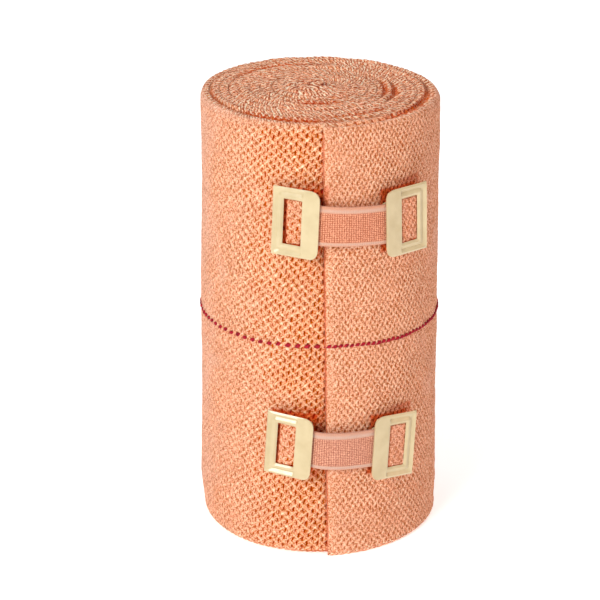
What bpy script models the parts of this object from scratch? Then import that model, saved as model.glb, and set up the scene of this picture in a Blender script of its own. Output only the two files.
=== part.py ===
"""Crepe bandage, wound on itself and held by two elastic clips.

Metres, +Z up. The roll stands on one end with its axis on Z and its free end at the front, -Y.
Angles round the roll are measured from the front towards the right, +X.
"""

import math

import bmesh
import bpy
from mathutils import Matrix, Vector

# The bandage and its winding
BANDAGE_WIDTH = 0.100  # also the height of the standing roll
TOP_RADIUS = 0.0262  # mean radius of the outer wall at the upper end
BOTTOM_RADIUS = 0.0273  # the winding is a little looser at the lower end
TURN_PITCH = 0.0022  # from one turn of cloth to the next
TURN_COUNT = 11.2
STEPS_PER_TURN = 40
WALL_CENTRE = Vector((-0.0006, 0.0))  # a spiral's outside is centred off the axis
CORE_CENTRE = Vector((0.0008, 0.0022))  # where the innermost turn ends up
LOOSE_BOW = -0.0010  # the middle turns lie this far to the left, loose on the right
CORE_RISE = 0.0006  # the inner turns stand proud of the outer ones

# The free end runs down the front, leaning to the right
FREE_END_ANGLE_TOP = math.radians(2.7)
FREE_END_ANGLE_BOTTOM = math.radians(7.5)

# Rounded selvedges: share of the pitch inwards from a turn's outer side, and depth below its crest
UPPER_SELVEDGE = (
    (0.00, 0.0013),
    (0.20, 0.0004),
    (0.50, 0.0000),
    (0.80, 0.0004),
)
LOWER_SELVEDGE = (
    (0.00, 0.0009),
    (0.28, 0.0000),
    (0.72, 0.0000),
)
CORE_PIT_DEPTH = 0.0030
WALL_LEVELS = (0.10, 0.26, 0.42, 0.58, 0.74, 0.90)  # shares of the height

# Where two turns gape on the upper end: whole turns in, angle of the middle, half width, depth
UPPER_GAPS = (
    {"turn": 1, "angle": 80, "half_width": 42, "depth": 0.0016},
    {"turn": 4, "angle": 84, "half_width": 30, "depth": 0.0014},
    {"turn": 5, "angle": 88, "half_width": 30, "depth": 0.0012},
)

# The clips' stamped hook plates
PLATE_WIDTH = 0.0111
PLATE_HEIGHT = 0.0149
PLATE_SHEET = 0.0006
TOOTH_STRIP = 0.0028  # from the outer edge, which grips the cloth, to the slot
SLOT_WIDTH = 0.0043
SLOT_HEIGHT = 0.0096
BAND_SIDE_RADIUS = 0.0020
TOOTH_SIDE_RADIUS = 0.0005
SLOT_RADIUS = 0.0005
RIM_INSET = 0.0005
RIM_DROP = 0.0004
LAND_RIM_DROP = 0.0001
TOOTH_EDGE_DROP = 0.0009
DISH_INSET = 0.0011  # the strips slope down to the slot over this width
DISH_DROP = 0.0005
LAND_DISH_DROP = 0.0002
CORNER_STEPS = 3

# Edges sharper than this are shaded as edges, in degrees
CLOTH_EDGE_ANGLE = 60
PLATE_EDGE_ANGLE = 40

# The tongue cut from the slot is folded back under the land and holds the band's end
TONGUE_WIDTH = 0.0086
TONGUE_LENGTH = 0.0034
TONGUE_SHEET = 0.0004
TONGUE_DROP = 0.0024  # from the land's face to the tongue's outer side

# The elastic bands
BAND_THICKNESS = 0.0007
BAND_DEPTH = 0.00135  # from the land's face to the middle of the band under it
BAND_END_GAP = 0.0010  # from the slot's edge to the band's end
BAND_STEPS = 14
BAND_OVER_ROLL = 0.0016  # from the outer turn to the middle of the band
BAND_SETTLING = 0.7  # under 1, the band comes down onto the roll soon after each plate
BAND_UNTWISTING = 2  # over 1, it turns from the plate's tilt to upright soon after it

# One row for each plate. The middle of its face is at "angle" round the roll, "reach" from the axis and
# "height" above the base; "face" is the angle that it looks towards, "tilt" leans its face up and
# "turn" raises its right side.
PLATES = (
    {"clip": "upper", "side": "left", "angle": -11.0, "reach": 0.02820, "height": 0.0787,
     "face": -23.0, "tilt": 3.0, "turn": -1.0},
    {"clip": "upper", "side": "right", "angle": 38.9, "reach": 0.02985, "height": 0.0780,
     "face": 36.5, "tilt": 1.0, "turn": 0.0},
    {"clip": "lower", "side": "left", "angle": -13.5, "reach": 0.02860, "height": 0.0267,
     "face": -20.0, "tilt": -1.0, "turn": -4.0},
    {"clip": "lower", "side": "right", "angle": 34.0, "reach": 0.03040, "height": 0.0257,
     "face": 32.0, "tilt": 1.0, "turn": -4.0},
)
BAND_HEIGHTS = {"upper": 0.0088, "lower": 0.0088}


def clear_scene():
    for obj in list(bpy.data.objects):
        bpy.data.objects.remove(obj, do_unlink=True)


def principled(name, colour, roughness):
    material = bpy.data.materials.new(name)
    material.use_nodes = True
    shader = material.node_tree.nodes["Principled BSDF"]
    shader.inputs["Base Color"].default_value = (*colour, 1.0)
    shader.inputs["Roughness"].default_value = roughness
    return material


def object_from(name, mesh_builder, material, sharp_angle):
    """Turns a bmesh into a smooth-shaded object with its normals outwards."""
    bmesh.ops.recalc_face_normals(mesh_builder, faces=mesh_builder.faces)
    mesh = bpy.data.meshes.new(name)
    mesh_builder.to_mesh(mesh)
    mesh_builder.free()
    mesh.materials.append(material)
    mesh.shade_smooth()
    mesh.set_sharp_from_angle(angle=math.radians(sharp_angle))
    obj = bpy.data.objects.new(name, mesh)
    bpy.context.scene.collection.objects.link(obj)
    return obj


# --- the wound bandage ---


def free_end_angle(height):
    share = height / BANDAGE_WIDTH
    return FREE_END_ANGLE_BOTTOM + (FREE_END_ANGLE_TOP - FREE_END_ANGLE_BOTTOM) * share


def wall_radius(height):
    """Mean radius of the outer wall, from the looser lower end to the upper one."""
    share = height / BANDAGE_WIDTH
    return BOTTOM_RADIUS + (TOP_RADIUS - BOTTOM_RADIUS) * share


def winding_point(turns_in, height):
    """A point on the outer side of the cloth, so many turns in from the free end."""
    outer = TOP_RADIUS + TURN_PITCH / 2
    radius = max(outer - TURN_PITCH * turns_in, 0.0)
    depth = 1 - radius / outer
    centre = WALL_CENTRE.lerp(CORE_CENTRE, depth)
    centre.x += LOOSE_BOW * 4 * depth * (1 - depth)
    angle = free_end_angle(height) + math.tau * turns_in
    across = Vector((math.sin(angle), -math.cos(angle))) * radius + centre
    across *= wall_radius(height) / TOP_RADIUS
    return Vector((across.x, across.y, height))


def between_turns(turns_in, share, height):
    """A point within the cloth's thickness: share 0 is its outer side, 1 its inner one."""
    outer_side = winding_point(turns_in, height)
    inner_side = winding_point(turns_in + 1, height)
    return outer_side.lerp(inner_side, share)


def gap_depth(turns_in):
    """How much deeper the groove outside this point of the cloth is, where the turns gape."""
    depth = 0.0
    for gap in UPPER_GAPS:
        middle = gap["turn"] + gap["angle"] / 360
        away = (turns_in - middle) * 360 / gap["half_width"]
        depth += gap["depth"] * math.exp(-away * away)
    return depth


def upper_height(turns_in, share, drop):
    crest = BANDAGE_WIDTH + CORE_RISE * ((turns_in + share) / TURN_COUNT) ** 2
    groove = gap_depth(turns_in) if share == 0 else 0.0
    return crest - drop - groove


def lower_height(turns_in, share, drop):
    return drop


def end_rows(builder, selvedge, height_of):
    """One row of vertices across the cloth for each step of the winding, with the innermost side last."""
    steps = round(TURN_COUNT * STEPS_PER_TURN)
    rows = []
    for step in range(steps + 1):
        turns_in = step / STEPS_PER_TURN
        row = []
        for share, drop in selvedge:
            height = height_of(turns_in, share, drop)
            row.append(builder.verts.new(between_turns(turns_in, share, height)))
        rows.append(row)
    for step in range(steps + 1):
        if step + STEPS_PER_TURN <= steps:
            rows[step].append(rows[step + STEPS_PER_TURN][0])
        else:
            turns_in = step / STEPS_PER_TURN
            height = height_of(turns_in, 1.0, selvedge[0][1])
            rows[step].append(builder.verts.new(between_turns(turns_in, 1.0, height)))
    return rows


def fill_end(builder, rows, pit_height):
    for row, following in zip(rows, rows[1:]):
        for here in range(len(row) - 1):
            builder.faces.new((row[here], row[here + 1], following[here + 1], following[here]))
    last_turn = [row[-1] for row in rows[-STEPS_PER_TURN - 1:]]
    mouth = last_turn + list(reversed(rows[-1][1:-1]))
    middle = sum((vertex.co for vertex in mouth), Vector()) / len(mouth)
    bottom = builder.verts.new((middle.x, middle.y, pit_height))
    for vertex, following in zip(mouth, mouth[1:] + mouth[:1]):
        builder.faces.new((vertex, following, bottom))


def fill_wall(builder, upper, lower):
    """The outer turn's face and, where it ends, the step down to the turn below."""
    rings = [[row[0] for row in lower[:STEPS_PER_TURN + 1]]]
    for level in WALL_LEVELS:
        rings.append([
            builder.verts.new(winding_point(step / STEPS_PER_TURN, level * BANDAGE_WIDTH))
            for step in range(STEPS_PER_TURN + 1)
        ])
    rings.append([row[0] for row in upper[:STEPS_PER_TURN + 1]])
    for ring, above in zip(rings, rings[1:]):
        for here in range(STEPS_PER_TURN):
            builder.faces.new((ring[here], ring[here + 1], above[here + 1], above[here]))
        builder.faces.new((ring[-1], ring[0], above[0], above[-1]))
    builder.faces.new(upper[0])
    builder.faces.new(lower[0])


def make_roll():
    builder = bmesh.new()
    upper = end_rows(builder, UPPER_SELVEDGE, upper_height)
    lower = end_rows(builder, LOWER_SELVEDGE, lower_height)
    fill_end(builder, upper, BANDAGE_WIDTH - CORE_PIT_DEPTH)
    fill_end(builder, lower, CORE_PIT_DEPTH)
    fill_wall(builder, upper, lower)
    cloth = principled("crepe cloth", (0.82, 0.42, 0.26), 0.85)
    return object_from("bandage_roll", builder, cloth, CLOTH_EDGE_ANGLE)


# --- the clips ---


def rounded_rectangle(left, right, half_height, left_radius, right_radius):
    """Points anticlockwise round a rectangle from its lower left corner, each corner an arc."""
    corners = (
        (left + left_radius, -half_height + left_radius, left_radius, 180),
        (right - right_radius, -half_height + right_radius, right_radius, 270),
        (right - right_radius, half_height - right_radius, right_radius, 0),
        (left + left_radius, half_height - left_radius, left_radius, 90),
    )
    points = []
    for x, y, radius, start in corners:
        for step in range(CORNER_STEPS + 1):
            angle = math.radians(start + 90 * step / CORNER_STEPS)
            points.append((x + radius * math.cos(angle), y + radius * math.sin(angle)))
    return points


def edge_drop(x):
    """How far the plate's outer edge is bent down: most at the teeth, least over the band."""
    if x < -PLATE_WIDTH / 2 + RIM_INSET:
        return TOOTH_EDGE_DROP
    if x > PLATE_WIDTH / 2 - BAND_SIDE_RADIUS:
        return LAND_RIM_DROP
    return RIM_DROP


def plate_rings():
    """The pressed face as rings of points, from its outer edge in to the slot.

    The plate lies in XY with its face up. Its tooth edge is at -X and its wide land at +X.
    """
    tooth, band = -PLATE_WIDTH / 2, PLATE_WIDTH / 2
    slot_left = tooth + TOOTH_STRIP
    slot_right = slot_left + SLOT_WIDTH
    half, slot_half = PLATE_HEIGHT / 2, SLOT_HEIGHT / 2
    edge = rounded_rectangle(tooth, band, half, TOOTH_SIDE_RADIUS, BAND_SIDE_RADIUS)
    rim = rounded_rectangle(tooth + RIM_INSET, band - RIM_INSET, half - RIM_INSET,
                            TOOTH_SIDE_RADIUS, BAND_SIDE_RADIUS - RIM_INSET)
    dish = rounded_rectangle(slot_left - DISH_INSET, slot_right + RIM_INSET,
                             slot_half + DISH_INSET, SLOT_RADIUS, SLOT_RADIUS)
    slot = rounded_rectangle(slot_left, slot_right, slot_half, SLOT_RADIUS, SLOT_RADIUS)
    return (
        [(x, y, -edge_drop(x)) for x, y in edge],
        [(x, y, 0.0) for x, y in rim],
        [(x, y, 0.0) for x, y in dish],
        [(x, y, -(LAND_DISH_DROP if x > slot_right - SLOT_RADIUS else DISH_DROP)) for x, y in slot],
    )


def plate_face(mirrored):
    """The face alone, to be thickened. A mirrored plate has its tooth edge at +X."""
    builder = bmesh.new()
    rings = []
    for ring in plate_rings():
        rings.append([builder.verts.new((-x if mirrored else x, y, z)) for x, y, z in ring])
    count = len(rings[0])
    for ring, inner in zip(rings, rings[1:]):
        for here in range(count):
            following = (here + 1) % count
            corners = (ring[here], ring[following], inner[following], inner[here])
            builder.faces.new(reversed(corners) if mirrored else corners)
    return builder


def tongue_solid(mirrored):
    """The fold at the slot's edge and the tongue that runs back under the land."""
    start = -PLATE_WIDTH / 2 + TOOTH_STRIP + SLOT_WIDTH
    top = -LAND_DISH_DROP - PLATE_SHEET / 2
    section = (
        (start, top),
        (start, -TONGUE_DROP),
        (start + TONGUE_LENGTH, -TONGUE_DROP),
        (start + TONGUE_LENGTH, -TONGUE_DROP + TONGUE_SHEET),
        (start + PLATE_SHEET, -TONGUE_DROP + TONGUE_SHEET),
        (start + PLATE_SHEET, top),
    )
    builder = bmesh.new()
    side = -1 if mirrored else 1
    ends = []
    for y in (-TONGUE_WIDTH / 2, TONGUE_WIDTH / 2):
        ends.append([builder.verts.new((side * x, y, z)) for x, z in section])
    for end in ends:
        builder.faces.new(end)
    for here in range(len(section)):
        following = (here + 1) % len(section)
        builder.faces.new((ends[0][here], ends[0][following], ends[1][following], ends[1][here]))
    return builder


def plate_matrix(plate):
    """From a plate lying face up to its place on the roll."""
    angle, face = math.radians(plate["angle"]), math.radians(plate["face"])
    centre = Vector((math.sin(angle), -math.cos(angle), 0)) * plate["reach"]
    centre.z = plate["height"]
    right = Vector((math.cos(face), math.sin(face), 0))
    outward = Vector((math.sin(face), -math.cos(face), 0))
    upright = Vector((0, 0, 1))
    axes = Matrix((right, upright, outward)).transposed().to_4x4()
    lean = Matrix.Rotation(-math.radians(plate["tilt"]), 4, "X")
    turn = Matrix.Rotation(math.radians(plate["turn"]), 4, "Z")
    return Matrix.Translation(centre) @ axes @ lean @ turn


def make_plate(plate, material):
    name = f"{plate['clip']}_{plate['side']}_hook_plate"
    mirrored = plate["side"] == "right"
    obj = object_from(name, plate_face(mirrored), material, PLATE_EDGE_ANGLE)
    if obj.data.polygons[0].normal.z < 0:
        obj.data.flip_normals()
    thickness = obj.modifiers.new("sheet", "SOLIDIFY")
    thickness.thickness = PLATE_SHEET
    thickness.offset = -1
    thickness.use_even_offset = True
    tongue = object_from(name + "_tongue", tongue_solid(mirrored), material, PLATE_EDGE_ANGLE)
    tongue.hide_render = True
    tongue.display_type = "WIRE"
    join = obj.modifiers.new("tongue", "BOOLEAN")
    join.operation = "UNION"
    join.solver = "EXACT"
    join.object = tongue
    obj.matrix_world = plate_matrix(plate)
    tongue.matrix_world = plate_matrix(plate)
    return obj


def band_end(plate, band_height):
    """Where the band passes under a plate's land: its inner end, the land's edge, and its directions."""
    side = -1 if plate["side"] == "right" else 1
    slot_edge = -PLATE_WIDTH / 2 + TOOTH_STRIP + SLOT_WIDTH
    place = plate_matrix(plate)
    inner = place @ Vector((side * (slot_edge + BAND_END_GAP), 0, -BAND_DEPTH))
    edge = place @ Vector((side * PLATE_WIDTH / 2, 0, -BAND_DEPTH))
    upright = place.to_3x3() @ Vector((0, 1, 0))
    outward = place.to_3x3() @ Vector((0, 0, 1))
    return inner, edge, upright, outward


def band_section(builder, centre, upright, outward, height):
    up = upright.normalized() * height / 2
    out = outward.normalized() * BAND_THICKNESS / 2
    corners = (centre - up - out, centre - up + out, centre + up + out, centre + up - out)
    return [builder.verts.new(corner) for corner in corners]


def make_band(clip, height, material):
    left, right = [plate for plate in PLATES if plate["clip"] == clip]
    left_inner, left_edge, left_up, left_out = band_end(left, height)
    right_inner, right_edge, right_up, right_out = band_end(right, height)
    builder = bmesh.new()
    sections = [band_section(builder, left_inner, left_up, left_out, height)]
    start = math.atan2(left_edge.x, -left_edge.y)
    end = math.atan2(right_edge.x, -right_edge.y)
    lift_left = left_edge.xy.length
    lift_right = right_edge.xy.length
    for step in range(BAND_STEPS + 1):
        share = step / BAND_STEPS
        angle = start + (end - start) * share
        level = left_edge.z + (right_edge.z - left_edge.z) * share
        rest = wall_radius(level) + TURN_PITCH / 2 + BAND_OVER_ROLL
        straight = lift_left + (lift_right - lift_left) * share
        hug = math.sin(math.pi * share) ** BAND_SETTLING
        radius = straight + (rest - straight) * hug
        centre = Vector((radius * math.sin(angle), -radius * math.cos(angle), level))
        radial = Vector((math.sin(angle), -math.cos(angle), 0))
        held = abs(2 * share - 1) ** BAND_UNTWISTING
        outward = radial.lerp(left_out if share < 0.5 else right_out, held)
        upright = Vector((0, 0, 1)).lerp(left_up if share < 0.5 else right_up, held)
        sections.append(band_section(builder, centre, upright, outward, height))
    sections.append(band_section(builder, right_inner, right_up, right_out, height))
    for section, following in zip(sections, sections[1:]):
        for here in range(4):
            there = (here + 1) % 4
            builder.faces.new((section[here], section[there], following[there], following[here]))
    builder.faces.new(sections[0])
    builder.faces.new(sections[-1])
    return object_from(f"{clip}_elastic_band", builder, material, PLATE_EDGE_ANGLE)


def main():
    clear_scene()
    make_roll()
    enamel = principled("cream enamelled steel", (0.80, 0.72, 0.45), 0.35)
    elastic = principled("woven elastic", (0.78, 0.36, 0.22), 0.8)
    for plate in PLATES:
        make_plate(plate, enamel)
    for clip, height in BAND_HEIGHTS.items():
        make_band(clip, height, elastic)


main()
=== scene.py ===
# A crepe bandage wound on itself and standing on one end, held by two elastic clips with stamped plates.
# Metres, +Z up, the free end and the clips at the front, -Y. Angles go from the front towards the right, +X.
import math
from functools import partial

import bpy
import numpy as np
from mathutils import Matrix, Vector


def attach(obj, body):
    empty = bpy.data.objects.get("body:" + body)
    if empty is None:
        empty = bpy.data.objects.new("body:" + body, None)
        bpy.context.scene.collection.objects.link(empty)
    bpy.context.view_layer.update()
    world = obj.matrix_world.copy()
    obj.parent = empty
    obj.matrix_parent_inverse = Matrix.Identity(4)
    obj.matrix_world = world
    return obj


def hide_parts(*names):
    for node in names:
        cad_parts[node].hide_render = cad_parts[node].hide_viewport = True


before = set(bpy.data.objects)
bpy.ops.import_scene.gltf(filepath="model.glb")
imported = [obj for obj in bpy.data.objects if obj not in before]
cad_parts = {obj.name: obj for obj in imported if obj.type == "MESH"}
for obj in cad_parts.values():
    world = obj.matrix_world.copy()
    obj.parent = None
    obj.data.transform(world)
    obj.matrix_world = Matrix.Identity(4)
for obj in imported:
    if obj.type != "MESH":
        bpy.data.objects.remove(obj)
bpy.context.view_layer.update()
print("frame loaded:", len(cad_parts), "nodes")

mm = 0.001


def linear(hexColour):
    # an sRGB hex colour as the linear one that a shader's socket takes
    shades = [int(hexColour[i:i + 2], 16) / 255 for i in (1, 3, 5)]
    return [s / 12.92 if s <= 0.04045 else ((s + 0.055) / 1.055) ** 2.4 for s in shades] + [1.0]


def setInputs(node, inputs):
    # inputs, by name or in order, are values or what they link from
    for key, value in (inputs.items() if isinstance(inputs, dict) else enumerate(inputs)):
        if isinstance(value, bpy.types.Node):
            value = next(output for output in value.outputs if output.enabled)
        if isinstance(value, bpy.types.NodeSocket):
            node.id_data.links.new(value, node.inputs[key])
        else:
            node.inputs[key].default_value = value


def addNode(tree, kind, settings=None, inputs=()):
    # settings are the node's own choices
    made = tree.nodes.new("ShaderNode" + kind)
    for key, value in (settings or {}).items():
        setattr(made, key, value)
    setInputs(made, inputs)
    return made


def newMaterial(name):
    material = bpy.data.materials.new(name)
    material.use_nodes = True
    tree = material.node_tree
    return material, tree, tree.nodes["Principled BSDF"]


def setRamp(ramp, first, last, at, between):
    # a ramp's first and last colours, and those at the places between
    stops = ramp.color_ramp.elements
    stops[0].color, stops[1].color = first, last
    for place, colour in zip(at, between):
        stops.new(place).color = colour


def linkNew(name, data):
    # a new object of the data, in the scene
    obj = bpy.data.objects.new(name, data)
    bpy.context.scene.collection.objects.link(obj)
    return obj


# what nodes are set to
rgba = {"data_type": "RGBA"}
smooth = {"interpolation_type": "SMOOTHSTEP"}
plus, minus, times, timesPlus, nearest, absolute, sine = (
    {"operation": name} for name in (
        "ADD", "SUBTRACT", "MULTIPLY", "MULTIPLY_ADD", "ROUND", "ABSOLUTE", "SINE"))


cameraSet = {
    "place": (0.0, -0.480, 0.2475),
    "yaw": -0.009172,  # radians, to the left
    "pitch": 0.39025,  # radians, looking down
    "roll": 0.00474,
    "lens": 137.13,
}


def makeCamera():
    yaw, pitch, roll = cameraSet["yaw"], cameraSet["pitch"], cameraSet["roll"]
    forward = Vector((math.sin(yaw) * math.cos(pitch), math.cos(yaw) * math.cos(pitch), -math.sin(pitch)))
    right = forward.cross(Vector((0, 0, 1))).normalized()
    up = right.cross(forward)
    turnedRight = right * math.cos(roll) + up * math.sin(roll)
    turnedUp = up * math.cos(roll) - right * math.sin(roll)
    data = bpy.data.cameras.new("camera")
    data.lens = cameraSet["lens"]
    data.clip_start = 0.01
    obj = linkNew("camera", data)
    axes = Matrix((turnedRight, turnedUp, -forward)).transposed().to_4x4()
    obj.matrix_world = Matrix.Translation(cameraSet["place"]) @ axes
    bpy.context.scene.camera = obj


lightSet = {
    # place, side of the square, watts, colour; all of them face the roll's middle
    "key": ((-0.56, -0.90, 0.62), 0.40, 8.85, "#F8FAF3"),
    "fill": ((0.45, -1.00, 0.30), 0.70, 1.4, "#FFF6F0"),
    "top": ((0.0, 0.15, 1.00), 0.80, 3.1, "#FFFFFF"),
    "edge": ((0.80, -0.42, 0.45), 0.25, 0.60, "#FFA088"),
    "shine": ((-0.62, -0.60, 0.86), 0.22, 0.75, "#FFFFFF"),
    "aim": (0, 0, 0.05),
    "world": 0.32,
}


def makeLights():
    for name in ("key", "fill", "top", "edge", "shine"):
        place, side, watts, colour = lightSet[name]
        data = bpy.data.lights.new(name, "AREA")
        data.size = side
        data.energy = watts
        data.color = linear(colour)[:3]
        obj = linkNew(name, data)
        obj.location = place
        aim = Vector(lightSet["aim"]) - Vector(place)
        obj.rotation_euler = aim.to_track_quat("-Z", "Y").to_euler()
    world = bpy.data.worlds.new("studio")
    world.use_nodes = True
    bpy.context.scene.world = world
    background = world.node_tree.nodes["Background"]
    setInputs(background, {"Color": (1, 1, 1, 1), "Strength": lightSet["world"]})
    bpy.context.scene.view_settings.view_transform = "Standard"  # plain colours, as in the photograph


def makeFloor():
    # a matt white table, plain
    material, tree, shader = newMaterial("matt white table")
    # lit from below, as a light table is
    setInputs(shader, {"Base Color": linear("#FDFDFC"), "Roughness": 0.9,
                       "Emission Color": (1, 1, 1, 1), "Emission Strength": 0.46})
    bpy.ops.object.select_all(action="DESELECT")
    bpy.ops.mesh.primitive_plane_add(size=6, location=(0, 0, 0))
    floor = bpy.context.object
    floor.name = "table_top"
    floor.data.materials.append(material)


makeCamera()
makeLights()
makeFloor()
print("camera, lights and floor made")


roll = {
    "width": 0.100,  # the bandage's width, the height of the standing roll
    "topRadius": 0.02595,
    "bottomRadius": 0.0271,
    "pitch": 0.0022,  # from one turn to the next
    "turns": 11.9,
    "wallCentre": (-0.0004, 0.0),
    "coreCentre": (0.0017, 0.0022),
    "looseBow": -0.0018,  # the middle turns lie to the left, loose on the right
    "coreRise": 0.0006,
    "endAngleTop": 2.1,  # degrees, where the free end is
    "endAngleBottom": 5.8,
    "outerSide": 0.0,  # the cloth's two sides, as shares of the pitch
    "innerSide": 0.92,
    "topDrop": 0.0013,  # how far the rounded selvedge falls off to its sides
    "bottomDrop": 0.0009,
    "footSpread": 0.0010,  # the foot stands this much further to the front, from this height down
    "footTop": 0.018,
    "footTuck": 0.0009,  # and is tucked in at the left
    "tuckTop": 0.010,
    "rimSpread": 0.0008,  # the upper rim leans out at the back left, from this height up
    "rimFoot": 0.080,
    "rimAngle": 232,
    "lapThin": 0.56,  # the free end and what lies under it press into each other, as a share of the pitch:
    "pressTurns": (0.70, 0.99, 1.16),  # from the first of these, fully at the second, up to the third,
    "pressAway": (0.006, 0.019),  # and only so far from a clip's middle, fully at the second
}

cloth = {
    "rowPitch": 0.97 * mm,  # rows of holes across the bandage's width
    "relaxed": 1.27 * mm,  # column pitch where the cloth is slack
    "stitch": 1.58 * mm,  # one stitch of the selvedge to the next
    "yarn": 0.36 * mm,  # half of a yarn's breadth
    "yarnRelief": 0.09 * mm,
    "crossing": 0.04 * mm,  # how far one yarn rides over the other
    "holeRelief": 0.26 * mm,
    "ropeRelief": 0.20 * mm,
    "endRounding": 0.8 * mm,
    "hem": 1.3 * mm,  # the free end's smooth strip
    "bulge": 2.2 * mm,  # into the slots of the hook plates, at most
    "underFace": 0.15 * mm,  # and up to this far below their faces
    "lapEnd": 1.10,  # the outer piece ends here, under the free end
    "outerRadius": 0.0267,  # the outer turn's, on its face, for the pattern and the stitches
    "meanRadius": 0.0262,  # and for the length of the cloth
    "rowsPerHole": 4,
}

# round the roll, by turns from the free end: pitch of the columns in mm, how open the holes are, and the
# lean of the columns
stretchTable = {
    "turn": (0.00, 0.10, 0.20, 0.30, 0.50, 0.72, 0.79, 0.86, 0.94, 0.98, 1.10),
    "column": (1.27, 1.27, 1.27, 1.30, 1.40, 1.62, 1.78, 1.93, 2.05, 2.05, 2.05),
    "open": (0.50, 0.50, 0.38, 0.36, 0.28, 0.24, 0.30, 0.44, 0.82, 1.00, 1.00),
}
leanTable = {
    "turn": (0.00, 0.12, 0.25, 0.50, 0.75, 1.055, 1.10),
    "lean": (0.000, -0.062, -0.062, 0.050, 0.170, 0.170, 0.000),
}
# where two turns gape on the upper end: turns in, angle of the middle, half width, depth
fullGape = 0.0009
gapes = ((1, 62, 32, fullGape), (4, 84, 22, 0.0008), (5, 88, 22, 0.0007), (2, -82, 26, 0.0004))
# where a groove on the upper end shows a row of holes: turns in, angle of the middle, half width
pitRows = ((1, 34, 26), (7, 2, 36), (2, -22, 30), (3, 24, 30), (4, -150, 40))


def ease(low, high, value):
    share = np.clip((value - low) / (high - low), 0, 1)
    return share * share * (3 - 2 * share)


def windingPoint(travel, height):
    # a point on the outer side of the cloth, so many turns in from the free end
    outer = roll["topRadius"] + roll["pitch"] / 2
    radius = np.maximum(outer - roll["pitch"] * travel, 0)
    depth = 1 - radius / outer
    share = height / roll["width"]
    centreX = roll["wallCentre"][0] + (roll["coreCentre"][0] - roll["wallCentre"][0]) * depth
    centreX = centreX + roll["looseBow"] * 4 * depth * (1 - depth)
    centreY = roll["wallCentre"][1] + (roll["coreCentre"][1] - roll["wallCentre"][1]) * depth
    centreY = centreY - roll["footSpread"] * ease(roll["footTop"], 0.001, height) * (1 - depth)
    endAngle = roll["endAngleBottom"] + (roll["endAngleTop"] - roll["endAngleBottom"]) * share
    angle = np.radians(endAngle) + math.tau * travel
    leftness = np.clip(-np.sin(angle), 0, 1) ** 2 * (1 - depth)
    centreX = centreX + roll["footTuck"] * ease(roll["tuckTop"], 0.0, height) * leftness
    back = np.clip(np.cos(angle - math.radians(roll["rimAngle"])), 0, 1) ** 4 * (1 - depth)
    radius = radius + roll["rimSpread"] * ease(roll["rimFoot"], roll["width"], height) * back
    grow = (roll["bottomRadius"] + (roll["topRadius"] - roll["bottomRadius"]) * share) / roll["topRadius"]
    return (np.sin(angle) * radius + centreX) * grow, (-np.cos(angle) * radius + centreY) * grow


def lapPress(travel, height):
    # how far the turn under the free end comes out towards it, as a share of the pitch
    away = np.minimum(abs(height - plates["upper_left"][2]), abs(height - plates["lower_left"][2]))
    start, full, stop = roll["pressTurns"]
    reach = np.where(travel < 1, ease(start, full, travel), ease(stop, 1.0, travel))
    return roll["lapThin"] * reach * ease(*roll["pressAway"], away)


def inCloth(travel, height, share):
    # a point in the cloth's thickness: share 0 is its outer side, 1 the outer side of the next turn in
    share = share * (1 - lapPress(travel + 1, height)) - lapPress(travel, height) * (1 - share)
    outerX, outerY = windingPoint(travel, height)
    innerX, innerY = windingPoint(travel + 1, height)
    return np.stack([outerX + (innerX - outerX) * share, outerY + (innerY - outerY) * share,
                     height + 0 * outerX], axis=-1)


lots = np.random.default_rng(7).uniform(-1, 1, (64, 64))


def uneven(x, y, size, offset=0):
    # smooth random values from -1 to 1, one lump to each size
    gridX, gridY = x / size + offset, y / size + 1.7 * offset
    cellX, cellY = np.floor(gridX).astype(int), np.floor(gridY).astype(int)
    shareX, shareY = ease(0, 1, gridX - cellX), ease(0, 1, gridY - cellY)
    near, far = (lots[cellX % 64, y % 64] * (1 - shareX) + lots[(cellX + 1) % 64, y % 64] * shareX
                 for y in (cellY, cellY + 1))
    return near * (1 - shareY) + far * shareY


def gapeDepth(travel):
    depth = 0 * travel
    for turn, angle, halfWidth, deep in gapes:
        away = (travel - turn - angle / 360) * 360 / halfWidth
        depth = depth + deep * np.exp(-away * away)
    return depth


def pitShare(travel):
    share = 0 * travel
    for turn, angle, halfWidth in pitRows:
        away = (travel - turn - angle / 360) * 360 / halfWidth
        share = np.maximum(share, np.exp(-away ** 4))
    return share


def grooveShare(travel):
    # how plainly the groove on a turn's outer side shows, from 0 to 1
    share = 0.12 + 0.34 * uneven(travel * 3.3, 0 * travel, 1.0, 61) + 0.60 * gapeDepth(travel) / fullGape
    return np.clip(np.maximum(share, 0.7 * pitShare(travel)), 0.04, 1)


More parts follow.
